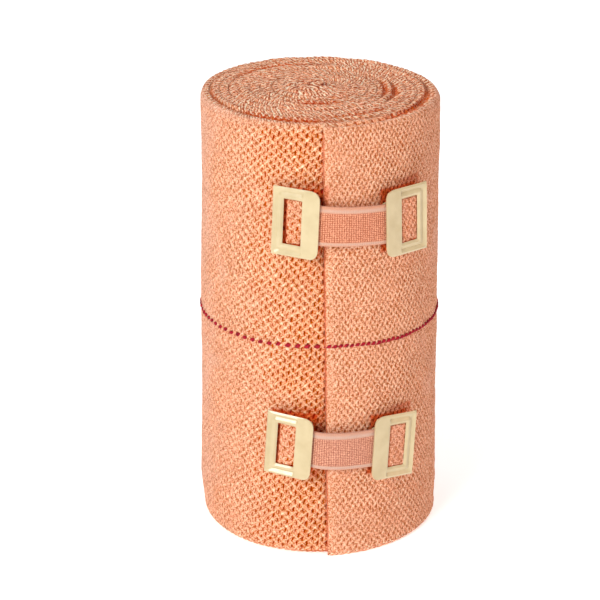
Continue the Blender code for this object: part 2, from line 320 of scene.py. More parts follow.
def netRelief(column, row, width, openness):
    # two sets of slanting yarns that cross, with a hole in each diamond between them
    a, b = column + row / 2, column - row / 2
    nearA, nearB = np.round(a), np.round(b)
    offA, offB = a - nearA, b - nearB
    lot = lots[nearA.astype(int) % 64, nearB.astype(int) % 64]
    across = (offA + offB) / 2 * width
    along = (offA - offB) * cloth["rowPitch"]
    # a hole of about 0.24 by 0.68 mm where the net is closed, and 0.5 by 1.04 mm where it is open
    halfWidth = (0.12 + 0.13 * openness) * mm * (1 + 0.3 * lot)
    halfHeight = (0.34 + 0.18 * openness) * mm * (1 + 0.2 * lot)
    hole = ease(1.5, 0.4, np.hypot(across / halfWidth, along / halfHeight)) * (0.2 + 0.8 * openness)
    spread = 1 / np.sqrt(1 / width ** 2 + 1 / (4 * cloth["rowPitch"] ** 2))
    swing = np.sin(math.pi * a) * np.sin(math.pi * b) * cloth["crossing"] / cloth["yarnRelief"]
    height = np.full_like(column, -0.4)
    for off, side in ((offA, swing), (offB, -swing)):
        distance = (0.5 - abs(off)) * spread / cloth["yarn"]
        bulge = np.sqrt(np.clip(1 - distance ** 2, 0, 1))
        height = np.maximum(height, bulge + side - 0.4 * (1 - bulge))
    return (height - 0.7) * cloth["yarnRelief"] * (0.25 + 0.75 * openness) - hole * cloth["holeRelief"]


# the values that a cloth's mesh carries for its material, three in each
carried = ("thread", "edge", "finish")


def clothMesh(name, points, thread, edge, finish, material):
    # points are stations by rows; each station is closed round the section, and both ends are capped
    stations, rows = points.shape[:2]
    index = np.arange(stations * rows).reshape(stations, rows)
    along, beside = index[:-1], index[1:]
    quads = np.stack([along, beside, np.roll(beside, -1, 1), np.roll(along, -1, 1)], -1).reshape(-1, 4)
    caps = np.concatenate([index[0], index[-1][::-1]])
    corners = np.concatenate([quads.ravel(), caps])
    starts = np.concatenate([np.arange(len(quads)) * 4, [len(quads) * 4, len(quads) * 4 + rows]])
    mesh = bpy.data.meshes.new(name)
    mesh.vertices.add(stations * rows)
    mesh.vertices.foreach_set("co", points.astype(np.float32).ravel())
    mesh.loops.add(len(corners))
    mesh.loops.foreach_set("vertex_index", corners.astype(np.int32))
    mesh.polygons.add(len(starts))
    mesh.polygons.foreach_set("loop_start", starts.astype(np.int32))
    rounded = np.ones(len(starts), bool)
    rounded[-2:] = False
    mesh.polygons.foreach_set("use_smooth", rounded)
    mesh.update(calc_edges=True)
    for title, values in zip(carried, (thread, edge, finish)):
        attribute = mesh.attributes.new(title, "FLOAT_VECTOR", "POINT")
        attribute.data.foreach_set("vector", values.astype(np.float32).ravel())
    mesh.materials.append(material)
    return linkNew(name, mesh)


def ropeSwell(rope, lift):
    # one rounded rib for each stitch that wraps the selvedge
    rib = 0.5 - 0.5 * np.cos(math.tau * rope)
    return cloth["ropeRelief"] * (rib - 0.6) * lift


def sectionRows(travel, column, wall, topCount, bottomCount):
    # all the rows of the cloth's section at each station: places, and the thread, edge and finish values
    circumference = math.tau * cloth["outerRadius"]
    high, low = roll["width"] - roll["topDrop"], roll["bottomDrop"]
    lean = np.interp(travel, leanTable["turn"], leanTable["lean"]) if wall else 0 * travel
    width = 0 * travel + cloth["relaxed"]
    if wall:
        width = np.interp(travel, stretchTable["turn"], stretchTable["column"]) * mm
    openness = np.interp(travel, stretchTable["turn"], stretchTable["open"])
    holes = round((high - low) / cloth["rowPitch"])
    places, threads, edges, finishes = [], [], [], []

    def addRow(height, share, rope, row, edgeShare, groove, swell, facing,
               warped=None, shown=None, pitsAndShade=0.0):
        # facing is the way that the relief swells: 0 outwards, a quarter turn up, half a turn inwards
        leaning = travel + lean * (height - roll["width"] / 2) / circumference
        side = roll["outerSide"] + (roll["innerSide"] - roll["outerSide"]) * share
        side = side - swell * math.cos(facing) / roll["pitch"]
        height = height + swell * math.sin(facing)
        distance = travel * circumference
        hem = 0 * travel
        if wall:
            rounding = cloth["endRounding"]
            near = np.clip(rounding - distance, 0, rounding)
            inset = rounding - np.sqrt(rounding ** 2 - near ** 2)
            middle = (roll["outerSide"] + roll["innerSide"]) / 2
            half = (roll["innerSide"] - roll["outerSide"]) / 2 * roll["pitch"]
            side = middle + (side - middle) * (1 - inset / half)
            if height.mean() > roll["width"] * 0.9:
                height = height - inset * 0.6 * edgeShare
            hem = ease(cloth["hem"] * 1.7, cloth["hem"] * 0.9, distance)
        places.append(inCloth(leaning, height, side))
        threads.append(np.stack([column if warped is None else warped, row + 0 * travel, width / mm], -1))
        edges.append(np.stack([rope, edgeShare + 0 * travel, groove + 0 * travel], -1))
        # near the roll's middle the hem value also carries the painted shade down there
        hem = np.maximum(hem, ease(roll["turns"] - 3.5, roll["turns"] - 1.6, travel))
        finishes.append(np.stack([openness if shown is None else shown, hem, pitsAndShade + 0 * travel], -1))

    # the selvedges aren't even: slow and quick unevenness along the cloth
    broad = uneven(travel * 2.6, 0 * travel, 1.0, 71)
    slow = uneven(travel * 9, 0 * travel, 1.0, 11)
    quick = uneven(travel * 34, 0 * travel, 1.0, 23)
    drift = 2.4 * uneven(travel * 2, 0 * travel, 1.0, 31) + 0.35 * uneven(column, 0 * travel, 1.9, 37)
    outerGroove, innerGroove = grooveShare(travel), grooveShare(travel + 1)
    stitches = (travel * circumference if wall else column * cloth["relaxed"]) / cloth["stitch"]

    def addEdge(part, count):
        for i in range(count + 1):
            turn = math.pi * i / count
            share = (1 - math.cos(turn)) / 2
            facing = turn if part == "top" else turn + math.pi
            if part == "bottom":
                share = 1 - share
            fall = abs(2 * share - 1) ** 2.3
            shown = outerGroove if share < 0.5 else innerGroove
            rope = stitches + (1.0 * share - 0.5) + (0 if wall else drift)
            swell = ropeSwell(rope, 0.4 + 0.6 * math.sin(turn))
            swell = swell + 0.10 * mm * uneven(column, share + 0 * travel, 0.42, 43)
            outside = np.where(travel < 1.0, 0.25, 1.0) if wall and share < 0.5 else 1.0
            edgeShare = 1.0
            if part == "top":
                gape = gapeDepth(travel) * ease(0.6, 0.0, share)
                nextGape = gapeDepth(travel + 1) * ease(0.6, 1.0, share)
                height = roll["width"] + roll["coreRise"] * ((travel + share) / roll["turns"]) ** 2
                inner = roll["topDrop"] * (0.17 + 0.28 * shown + 0.12 * quick)
                drop = roll["topDrop"] if wall and share < 0.5 else inner
                lumps = 0.20 * broad + 0.16 * slow + 0.12 * quick
                height = height - drop * fall - 0.3 * gape - 0.1 * nextGape + lumps * mm * (1 - fall)
                wave = 0.5 + 0.5 * np.cos(math.tau * rope)
                pitsAndShade = wave ** 2 * math.exp(-((share - 0.10) / 0.14) ** 2)
                pitsAndShade = pitsAndShade + (1 - wave) ** 2 * math.exp(-((share - 0.36) / 0.12) ** 2)
                pitsAndShade = pitsAndShade * pitShare(travel) * outside
                swell = swell - 0.40 * mm * pitsAndShade
                # painted shade at the bottom of every groove
                shown = np.maximum(shown, 0.3 * ease(0.85, 1.0, fall))
                # at its very edge a turn reaches the next one again, so that a gap has a floor
                shift = 0.36 * gape / fullGape * (share > 0) + 0.20 * nextGape / fullGape
                shift = shift + 0.09 * (share - 0.5) * (slow - quick) * fall
                shift = shift + 0.12 * (1 - innerGroove) * ease(0.6, 1.0, share)
                row = holes + i / count * math.pi
                if wall:
                    edgeShare = float(ease(0.12, 0.62, share))
                    net = netRelief(column, row + 0 * travel, width, openness)
                    swell = swell * edgeShare + net * (1 - edgeShare)
                    shown = openness * (1 - edgeShare) + shown * edgeShare
            else:
                height = roll["bottomDrop"] * fall + 0 * travel
                swell = np.minimum(swell, 0)
                shift = pitsAndShade = 0
                row = -(count - i) / count * math.pi
            addRow(height, share + shift, rope, row, edgeShare, fall * outside, swell, facing,
                   None, shown, pitsAndShade)

    if wall:
        rowCount = holes * cloth["rowsPerHole"]
        for j in range(1, rowCount):
            height = low + (high - low) * j / rowCount + 0 * travel
            around = travel * circumference
            place = travel + lean * (height - roll["width"] / 2) / circumference
            open = np.interp(place, stretchTable["turn"], stretchTable["open"])
            row = j / cloth["rowsPerHole"] + 0.16 * uneven(around, height, 1.7 * mm, 51)
            warped = column + 0.11 * uneven(around, height, 1.5 * mm, 57)
            edgeShare = float(ease(low + 0.9 * mm, low + 0.1 * mm, height[0]))
            hem = ease(cloth["hem"] * 1.7, cloth["hem"] * 0.9, around)
            patchy = 0.16 * uneven(around, height, 7.0 * mm, 83)
            patchy = patchy + 0.12 * uneven(around, height, 2.6 * mm, 89)
            bulge = slotBulge(place, height)
            shown = np.clip(open * (1 + patchy) * (1 - 0.25 * ease(0, 0.6 * mm, bulge)), 0, 1)
            net = netRelief(warped, row, width, shown * (1 - 0.8 * hem)) * (1 - 0.3 * hem)
            swell = net * (1 - edgeShare) + ropeSwell(stitches, 0.4) * edgeShare
            lump = uneven(around, height, 9 * mm) * 0.12 * mm
            lump = lump + uneven(around, height, 3.1 * mm, 5) * 0.07 * mm
            swell = swell + (lump + uneven(around, height, 0.6 * mm, 91) * 0.05 * mm) * (1 - edgeShare)
            swell = swell + bulge
            # on the wall the third finish value is the painted shade round the clips and along the seam
            addRow(height, 0.0, stitches, row, edgeShare, 0.0, swell, 0,
                   warped, shown, shadeShare(place, height))
    addEdge("top", topCount)
    if wall:
        for share in (0.8, 0.2):
            addRow(roll["width"] * share + 0 * travel, 1.0, column, 0, 1.0, 1.0, 0 * travel, math.pi)
    addEdge("bottom", bottomCount)
    return [np.stack(values, 1) for values in (places, threads, edges, finishes)]


def plateReach(travel, height):
    # for each hook plate, whether the places on the cloth are near it, how far they are below its face,
    # inside its outline, inside its slot, from the slot's upper left edges, and to the right of its middle
    places = inCloth(travel, height, 0.0)
    for name in plates:
        side = 1 if name.endswith("right") else -1
        to = plateMatrix(name).inverted()
        x, y, z = (places @ np.array(to.to_3x3()).T + np.array(to.translation)).T
        middle = side * (plate["width"] / 2 - plate["toothStrip"] - plate["slotWidth"] / 2)
        inPlate = np.minimum(plate["width"] / 2 - abs(x), plate["height"] / 2 - abs(y))
        inSlot = np.minimum(plate["slotWidth"] / 2 - abs(x - middle), plate["slotHeight"] / 2 - abs(y))
        lit = np.minimum(x - middle + plate["slotWidth"] / 2, plate["slotHeight"] / 2 - y + 0.2 * mm)
        yield abs(z) < 5 * mm, -z, inPlate, inSlot, lit, x


def slotBulge(travel, height):
    # how far the cloth comes up into the slots of the hook plates
    bulge = 0 * travel
    for near, below, _, inSlot, *_ in plateReach(travel, height):
        rise = np.clip(below - cloth["underFace"], 0, cloth["bulge"])
        bulge = np.maximum(bulge, near * ease(-0.5 * mm, 0.25 * mm, inSlot) * rise)
    return bulge


def shadeShare(travel, height):
    # painted shade: where the cloth is lit by other cloth alone, round the clips and along the seam, it is
    # painted deeper and redder
    fromSeam = (travel - np.round(travel)) * math.tau * cloth["outerRadius"]
    shade = 0.8 * np.exp(-(fromSeam / (0.14 * mm)) ** 2)
    for near, _, inPlate, inSlot, lit, right in plateReach(travel, height):
        covered = np.maximum(ease(0.1 * mm, -0.1 * mm, inSlot), ease(0.35 * mm, 0, lit))
        under = ease(0.1 * mm, 0.9 * mm, inPlate) * covered
        beside = 0.6 * ease(-1.2 * mm, -0.3 * mm, inPlate) * ease(-3 * mm, 4 * mm, right)
        shade = np.maximum(shade, near * np.maximum(under, beside * (inPlate < 0.2 * mm)))
        shade = np.maximum(shade, 0.12 * near * (inSlot > 0))
    return shade


def running(values, at):
    # the running integral of the values over where they stand
    return np.concatenate([[0], np.cumsum((values[1:] + values[:-1]) / 2 * np.diff(at))])


def lapStations():
    # travel and column number of each line of the outer piece, closer where the holes are wide
    fine = np.linspace(0, cloth["lapEnd"], 8000)
    widths = np.interp(fine, stretchTable["turn"], stretchTable["column"]) * mm
    around = math.tau * (roll["topRadius"] + roll["pitch"] * (0.5 - fine)) * 1.021
    phase = running(around / widths, fine)
    total = round(phase[-1])
    phase = phase * total / phase[-1]
    columns = [0.04, 0.10, 0.17]
    for n in range(total):
        pitch = np.interp(np.interp(n, phase, fine), stretchTable["turn"], stretchTable["column"])
        each = 6 if pitch > 1.5 else 4
        columns += [n + i / each for i in range(each)]
    columns = np.array(sorted(columns) + [total])
    return np.interp(columns, phase, fine), columns


def spiralStations(start, stop, each):
    # travel and column number along the inner turns, where the columns keep the relaxed pitch
    fine = np.linspace(start, stop, 20000)
    around = np.maximum(math.tau * (roll["topRadius"] - roll["pitch"] * fine), 0.002)
    phase = running(around, fine) / cloth["relaxed"]
    total = int(phase[-1])
    columns = np.arange(total * each + 1) / each
    return np.interp(columns, phase, fine), columns


def makeCloth(material):
    # the outer turn and the inner turns, each in three pieces
    pieces = []
    for title, wall, (travel, column), rowCounts in (
        ("outer_turn", True, lapStations(), (14, 8)),
        ("inner_turns", False, spiralStations(cloth["lapEnd"], roll["turns"], 6), (12, 6)),
    ):
        places, *looks = sectionRows(travel, column, wall, *rowCounts)
        print(title, "has stations and rows:", places.shape[:2])
        cuts = [0, len(travel) // 3, 2 * len(travel) // 3, len(travel) - 1]
        for n, (start, stop) in enumerate(zip(cuts, cuts[1:]), 1):
            part = slice(start, stop + 1)
            obj = clothMesh(f"{title}_{n}", places[part], *(values[part] for values in looks), material)
            pieces.append(obj)
    for obj in pieces:
        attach(obj, "root")
    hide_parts("bandage_roll")
    return pieces


clothFinish = {
    "cream": "#FFE9CB",  # painted highlight on a crossing, and on the selvedge's stitches
    "pale": "#FAD5B2",  # painted highlight where a yarn stands up
    "body": "#E4A080",
    "low": "#B46846",  # painted shade between the yarns
    "orange": "#CA5C24",  # painted shade on the sides of a hole, where dyed yarn lights dyed yarn
    "brown": "#9E5732",  # the same painted shade where the net is closed
    "deep": "#9C400E",  # painted shade down in the holes
    "stitch": "#FFC6A2",  # the selvedge's stitches where the light falls on them
    # painted half shade on the stitches
    "halfShade": "#EA946A",
    "shade": "#A04622",  # and what lies between them
    "between": "#A8623E",  # painted shade between two turns
    "groove": "#CC5812",  # painted shade where they gape, lit by dyed yarn only
    # painted shade in the selvedge's pits
    "pit": "#B4431A",
    "paintedShade": "#E8925C",  # painted shade under the clips and along the seam, lit by dyed cloth only
    "core": "#8A2A14",  # painted shade down in the roll's middle
    "roughness": 0.9,
    "sheen": 0.05,
}


def crepeCotton():
    # crepe cotton, hard-twisted yarns dyed peach and woven open: matt, with painted highlight where a yarn
    # stands up and painted shade, orange, in the holes
    material, tree, shader = newMaterial("woven crepe cotton")
    add = partial(addNode, tree)
    tint = {name: linear(value) for name, value in clothFinish.items() if name not in ("roughness", "sheen")}
    sources = [add("Attribute", {"attribute_name": name}).outputs["Vector"] for name in carried]
    (column, row, width), (rope, edgeShare, groove), (openness, hem, pitsAndShade) = (
        add("SeparateXYZ", None, (source,)).outputs for source in sources)
    place = add("TexCoord").outputs["Object"]
    a, b = (add("Math", timesPlus, (row, slope, column)) for slope in (0.5, -0.5))
    nearA, nearB = (add("Math", nearest, (value,)) for value in (a, b))
    offA, offB = (add("Math", minus, pair) for pair in ((a, nearA), (b, nearB)))
    holeLot = add("TexWhiteNoise", {"noise_dimensions": "2D"}, (add("CombineXYZ", None, (nearA, nearB)),))
    ab = add("CombineXYZ", None, (a, b))
    # fibres of about 0.2 mm: one step of a or b is some 1.2 mm
    fibre = add("TexNoise", None, {"Vector": ab, "Scale": 5.0, "Detail": 1.0, "Roughness": 0.6})
    # kinks of the hard-twisted yarns, 0.35 mm
    slub = add("TexNoise", None, {"Vector": place, "Scale": 2900.0, "Detail": 1.0})
    fibreSpan = add("MapRange", None, (fibre, 0.32, 0.68, -1.0, 1.0))
    slubSpan = add("MapRange", smooth, (slub, 0.36, 0.64, -1.0, 1.0))
    # the hole's shape, from distances to its middle in mm
    across = add("Math", times, (add("Math", times, (add("Math", plus, (offA, offB)), 0.5)), width))
    along = add("Math", minus, (offA, offB))
    halfWidth = add("MapRange", None, (openness, 0.2, 1.0, 0.10, 0.19))
    halfHeight = add("MapRange", None, (openness, 0.2, 1.0, 0.32, 0.52))
    shareX = add("Math", {"operation": "DIVIDE"}, (across, halfWidth))
    shareY = add("Math", {"operation": "DIVIDE"}, (along, halfHeight))
    square = add("Math", timesPlus, (shareY, shareY, add("Math", times, (shareX, shareX))))
    reach = add("Math", timesPlus, (holeLot, 0.38, add("Math", {"operation": "SQRT"}, (square,))))
    reach = add("Math", timesPlus, (fibreSpan, 0.26, reach))
    hole = add("MapRange", smooth, (reach, 1.42, 0.84))
    strength = add("MapRange", None, (openness, 0.30, 0.90, 0.20, 1.0))
    strength = add("Math", times, (strength, add("MapRange", None, (hem, 0.0, 1.0, 1.0, 0.15))))
    hole = add("Math", times, (hole, strength))
    # the two sets of yarns, with painted highlight along the crowns of whichever lies on top
    spread = add("MapRange", None, (width, 1.27, 2.05, 1.06, 1.41))
    sines = [add("Math", sine, (add("Math", times, (value, math.pi)),)) for value in (a, b)]
    swing = add("Math", times, sines)
    crowns = []
    for off, other, sense in ((offA, b, 1.0), (offB, a, -1.0)):
        size = add("Math", absolute, (off,))
        distance = add("Math", times, (add("Math", minus, (0.5, size)), spread))
        crown = add("MapRange", smooth, (distance, 0.19, 0.02))
        over = add("MapRange", smooth, (add("Math", times, (swing, sense)), -0.45, 0.45, 0.30, 1.0))
        # the twist of the yarn's plies, 0.4 mm
        twist = add("Math", timesPlus, (distance, 9.0, add("Math", times, (other, 3.0 * math.tau))))
        twist = add("Math", timesPlus, (add("Math", sine, (twist,)), 0.25, crown))
        crowns.append(add("Math", times, (twist, over)))
    crown = add("Math", {"operation": "MAXIMUM"}, crowns)
    # where the net is closed its crimped yarns show as short upright streaks, 0.4 by 1 mm
    streak = add("Mapping", None, {"Vector": sources[0], "Scale": (3.4, 0.95, 0.0)})
    streak = add("TexNoise", None, {"Vector": streak, "Scale": 1.0, "Detail": 1.0})
    streakSpan = add("MapRange", smooth, (streak, 0.36, 0.64, -1.0, 1.0))
    closed = add("MapRange", None, (openness, 0.25, 0.85, 0.34, 0.08))
    crownHighlight = add("Math", times, (crown, add("MapRange", None, (openness, 0.25, 0.85, 0.34, 1.60))))
    tone = add("Math", timesPlus, (streakSpan, closed, crownHighlight))
    slubs = add("Math", times, (slubSpan, add("MapRange", None, (openness, 0.25, 0.60, 0.75, 1.10))))
    tone = add("Math", timesPlus, (fibreSpan, 0.40, add("Math", plus, (slubs, tone))))
    # painted shade between the yarns and painted highlight on their crowns, mixed with the yarns' own random
    # tone
    ramp = add("ValToRGB", None, {"Fac": add("MapRange", None, (tone, -1.10, 2.00))})
    setRamp(ramp, tint["low"], tint["pale"], (0.42,), (tint["body"],))
    # painted highlight: now and then a crossing, where one yarn rides highest, gets a pale glint
    crossing = [add("Math", {"operation": "FLOOR"}, (value,)) for value in (a, b)]
    crossingLot = add("TexWhiteNoise", {"noise_dimensions": "2D"}, (add("CombineXYZ", None, crossing),))
    nearCrossing = add("MapRange", smooth, (add("Math", absolute, (swing,)), 0.72, 0.98))
    chance = add("MapRange", smooth, (crossingLot.outputs["Value"], 0.72, 1.0, 0.0, 0.9))
    cream = add("Math", times, (add("Math", times, (nearCrossing, chance)), openness))
    net = add("Mix", rgba, {"Factor": cream, "A": ramp, "B": tint["cream"]})
    # painted shade in the holes: their sides orange where the net is open and brown where it is closed
    sides = add("MapRange", smooth, (hole, 0.0, 0.55))
    orangeShadeShare = add("MapRange", smooth, (openness, 0.45, 0.85))
    holeColour = add("Mix", rgba, {"Factor": orangeShadeShare, "A": tint["brown"], "B": tint["orange"]})
    net = add("Mix", rgba, {"Factor": sides, "A": net, "B": holeColour})
    # painted shade down in each hole, darkest towards the left, the side that the light comes from
    depth = add("Math", times, (hole, add("MapRange", None, (shareX, -1.0, 1.0, 1.30, 0.80))))
    depth = add("MapRange", smooth, (depth, 0.62, 1.05))
    net = add("Mix", rgba, {"Factor": depth, "A": net, "B": tint["deep"]})
    # the selvedges are whipped over with slanting stitches of 1.6 mm, their yarns in strokes of 0.3 by
    # 0.7 mm
    strand = add("CombineXYZ", None, (add("Math", times, (rope, 5.0)), add("Math", times, (row, 1.5))))
    strand = add("TexNoise", None, {"Vector": strand, "Scale": 1.0, "Detail": 0.0})
    strandSpan = add("MapRange", smooth, (strand, 0.38, 0.62, -1.0, 1.0))
    turned = add("Math", times, (add("Math", timesPlus, (slubSpan, 0.06, rope)), math.pi))
    gap = add("Math", absolute, (add("Math", sine, (turned,)),))
    plump = add("MapRange", smooth, (gap, 0.58, 0.15))
    stitchLot = add("TexWhiteNoise", {"noise_dimensions": "1D"}, {"W": add("Math", nearest, (rope,))})
    stitchLot = add("MapRange", None, (stitchLot.outputs["Value"], 0.0, 1.0, 0.9, 1.9))
    plump = add("Math", times, (plump, stitchLot))
    finer = add("Math", absolute, (add("Math", {"operation": "COSINE"}, (turned,)),))
    finer = add("MapRange", smooth, (finer, 0.45, 0.10, 0.0, 0.7))
    stitch = add("Math", timesPlus, (strandSpan, 0.42, add("Math", plus, (plump, finer))))
    stitch = add("Math", timesPlus, (fibreSpan, 0.15, add("Math", timesPlus, (slubSpan, 0.38, stitch))))
    # painted shade between the stitches and painted highlight on them, mixed with the yarns' random tone
    selvedge = add("ValToRGB", None, {"Fac": add("MapRange", None, (stitch, -0.36, 1.36))})
    setRamp(selvedge, tint["shade"], tint["cream"], (0.34, 0.64), (tint["halfShade"], tint["stitch"]))
    # painted shade: brownish between the turns, orange where they gape, dark red down in the roll's middle
    inGap = add("Math", times, (groove, add("MapRange", None, (openness, 0.4, 0.9, 1.0, 2.3))))
    inGroove = add("MapRange", smooth, (inGap, 0.22, 0.95))
    inGroove = add("Math", timesPlus | {"use_clamp": True}, (strandSpan, -0.45, inGroove))
    dark = add("Math", times, (inGroove, add("MapRange", None, (openness, 0.0, 0.5))))
    gaping = add("MapRange", smooth, (openness, 0.35, 0.8))
    inside = add("Mix", rgba, {"Factor": gaping, "A": tint["between"], "B": tint["groove"]})
    # painted shade down in the roll's middle
    inside = add("Mix", rgba, {"Factor": hem, "A": inside, "B": tint["core"]})
    selvedge = add("Mix", rgba, {"Factor": dark, "A": selvedge, "B": inside})
    # painted shade in the selvedge's pits
    pit = add("MapRange", smooth, (add("Math", timesPlus, (slubSpan, 0.15, pitsAndShade)), 0.20, 0.70))
    selvedge = add("Mix", rgba, {"Factor": pit, "A": selvedge, "B": tint["pit"]})
    # painted light: sheen on the closed net and warmer colour on the open one; and painted shade, deeper and
    # redder, where light comes by way of other cloth only
    paler = add("MapRange", None, (openness, 0.22, 0.42, 0.88, 1.04))  # painted sheen: the closed net, mostly on the lit left, is painted paler
    warmer = add("Math", times, (paler, add("MapRange", None, (openness, 0.6, 1.0, 1.0, 1.10))))
    net = add("HueSaturation", None, {"Saturation": warmer, "Color": net})
    net = add("Mix", rgba | {"blend_type": "MULTIPLY"}, {"Factor": pitsAndShade, "A": net, "B": tint["paintedShade"]})
    colour = add("Mix", rgba, {"Factor": edgeShare, "A": net, "B": selvedge})
    # broad unevenness of the dye, 6 mm
    broad = add("TexNoise", None, {"Vector": place, "Scale": 160.0, "Detail": 2.0})
    value = add("MapRange", None, (broad, 0.3, 0.7, 0.95, 1.05))
    hue = add("MapRange", None, (slub, 0.3, 0.7, 0.508, 0.488))
    dyed = add("HueSaturation", None, {"Hue": hue, "Value": value, "Color": colour})
    # fine relief of crowns, holes and fibres, 0.12 mm
    netRise = add("Math", minus, (crown, hole))
    rise = add("Mix", None, {"Factor": edgeShare, "A": netRise, "B": add("Math", times, (stitch, 0.9))})
    fine = add("Math", timesPlus, (fibre, 1.2, rise))
    bump = add("Bump", None, {"Strength": 0.6, "Distance": 0.00012, "Height": fine})
    setInputs(shader, {"Base Color": dyed, "Normal": bump, "Roughness": clothFinish["roughness"],
                       "Sheen Weight": clothFinish["sheen"], "Sheen Roughness": 0.3,
                       "Specular IOR Level": 0.05})
    return material


middleThread = {
    "height": 0.0500,  # along the bandage's middle
    "length": 1.56 * mm,  # one stitch, over a column of the weave
    "thick": 0.40 * mm,  # half of its breadth
    "slant": 22.0,  # degrees, up to the right
    "proud": 0.14 * mm,
    "colour": "#C2122E",
    "shade": "#6E0A18",
}


def threadCotton():
    # mercerised sewing cotton, dyed crimson: a little sheen along its twist
    material, tree, shader = newMaterial("crimson sewing cotton")
    add = partial(addNode, tree)
    # fibres and dye, about 0.3 mm
    place = add("TexCoord").outputs["Object"]
    noise = add("TexNoise", None, {"Vector": place, "Scale": 2600.0, "Detail": 3.0})
    share = add("MapRange", None, (noise, 0.35, 0.65))
    shade, lit = linear(middleThread["shade"]), linear(middleThread["colour"])
    colour = add("Mix", rgba, {"Factor": share, "A": shade, "B": lit})
    setInputs(shader, {"Base Color": colour, "Roughness": 0.65, "Specular IOR Level": 0.25})
    return material


def oneStitch():
    # a plump stitch lying along X, thinner where it goes down into the cloth, with the twist of its plies
    bpy.ops.object.select_all(action="DESELECT")
    bpy.ops.mesh.primitive_uv_sphere_add(segments=12, ring_count=10, rotation=(0, math.pi / 2, 0))
    stitch = bpy.context.object
    bpy.ops.object.transform_apply(location=False, rotation=True, scale=False)
    for vertex in stitch.data.vertices:
        x, y, z = vertex.co
        around = math.atan2(z, y)
        ply = 1 + 0.16 * math.cos(2 * around + 4.5 * x)
        ply = ply * (1 + 0.28 * x)  # plumper at its right end
        sink = -0.55 * x * x
        vertex.co = (x * middleThread["length"] / 2, y * ply * middleThread["thick"],
                     (z * ply * 0.75 + sink) * middleThread["thick"])
    return stitch


def makeThread(material, travel, column):
    # one stitch for each column of the outer turn, at the bandage's middle
    stitch = oneStitch()
    shape = np.array([v.co for v in stitch.data.vertices])
    faces = [tuple(p.vertices) for p in stitch.data.polygons]
    bpy.data.objects.remove(stitch, do_unlink=True)
    points, polygons = [], []
    count = int(np.interp(1.01, travel, column))
    for n in range(count):
        where = float(np.interp(n + 0.5, column, travel))
        width = float(np.interp(where, stretchTable["turn"], stretchTable["column"]))
        height = middleThread["height"] + 0.12 * mm * lots[n % 64, 3]
        height = height + 0.6 * mm * float(ease(0.10, 0.0, where))  # it rises towards the free end
        height = height + 0.10 * mm * float(ease(0.90, 0.99, where))
        here = inCloth(np.array([where, where + 0.001]), np.array([height, height]), 0.0)
        along = (here[1] - here[0]) / np.linalg.norm(here[1] - here[0])
        out = np.cross(along, (0, 0, 1))
        up = np.cross(out, along)
        slant = math.radians(middleThread["slant"] + 8 * lots[n % 64, 5])
        long = along * math.cos(slant) + up * math.sin(slant)
        wide = up * math.cos(slant) - along * math.sin(slant)
        scale = 0.86 + 0.14 * (width - 1.27) / 0.78 + 0.06 * lots[n % 64, 9]
        place = here[0] + out * (middleThread["proud"] + 0.05 * mm * lots[n % 64, 11])
        polygons += [tuple(i + len(points) * len(shape) for i in face) for face in faces]
        points.append(place + scale * (shape[:, :1] * long + shape[:, 1:2] * wide + shape[:, 2:] * out))
    made = bpy.data.meshes.new("middle_thread")
    made.from_pydata(np.concatenate(points).tolist(), [], polygons)
    made.polygons.foreach_set("use_smooth", np.ones(len(polygons), bool))
    made.materials.append(material)
    obj = linkNew("middle_thread", made)
    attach(obj, "root")
    return obj


plate = {
    "width": 11.1 * mm,
    "height": 15.2 * mm,
    "sheet": 0.50 * mm,
    "toothStrip": 2.8 * mm,  # from the edge that grips the cloth to the slot
    "slotWidth": 4.3 * mm,
    "slotHeight": 9.95 * mm,
    "bandCorner": 2.0 * mm,
    "toothCorner": 0.4 * mm,
    "rim": 0.45 * mm,
    "rimDrop": 0.22 * mm,
    "landRimDrop": 0.10 * mm,
    "toothDrop": 0.9 * mm,
    "dish": 0.52 * mm,  # the strips slope down to the slot over this width
    "dishDrop": 0.38 * mm,
    "channel": 0.40 * mm,  # and have a shallow channel along them
    "landDishDrop": 0.10 * mm,
    "tongueWidth": 8.4 * mm,
    "tongueLength": 3.4 * mm,
    "tongueDrop": 2.4 * mm,
}
# middle of the face by angle round the roll, reach from the axis and height; then where it looks, its lean
# and its turn
plates = {
    "upper_left": (-11.1, 0.02820, 0.0789, -23.0, 3.0, -1.0),
    "upper_right": (38.9, 0.02985, 0.0782, 36.5, 1.0, 1.2),
    "lower_left": (-13.5, 0.02860, 0.0267, -20.0, -1.0, -4.0),
    "lower_right": (34.0, 0.03040, 0.0257, 32.0, 1.0, -4.0),
}
band = {
    "height": 8.8 * mm,
    "thickness": 0.7 * mm,
    "depth": 1.35 * mm,  # from the land's face to the band's middle under it
    "endGap": 1.0 * mm,
    "overRoll": 1.6 * mm,  # from the outer turn to the band's middle
    "settling": 0.7,
    "untwisting": 2,
    "rib": 0.50 * mm,  # ribs across the elastic
    "cord": 0.42 * mm,  # warp threads along it
    "ribRelief": 0.045 * mm,
    "cordRelief": 0.040 * mm,
    "topStripe": 1.35 * mm,
    "bottomStripe": 0.85 * mm,
    "stripeRelief": 0.050 * mm,
    "topLine": (0.90, 0.42),  # the stripes' palest line: mm from the edge, and its half breadth
    "bottomLine": (0.55, 0.28),
}


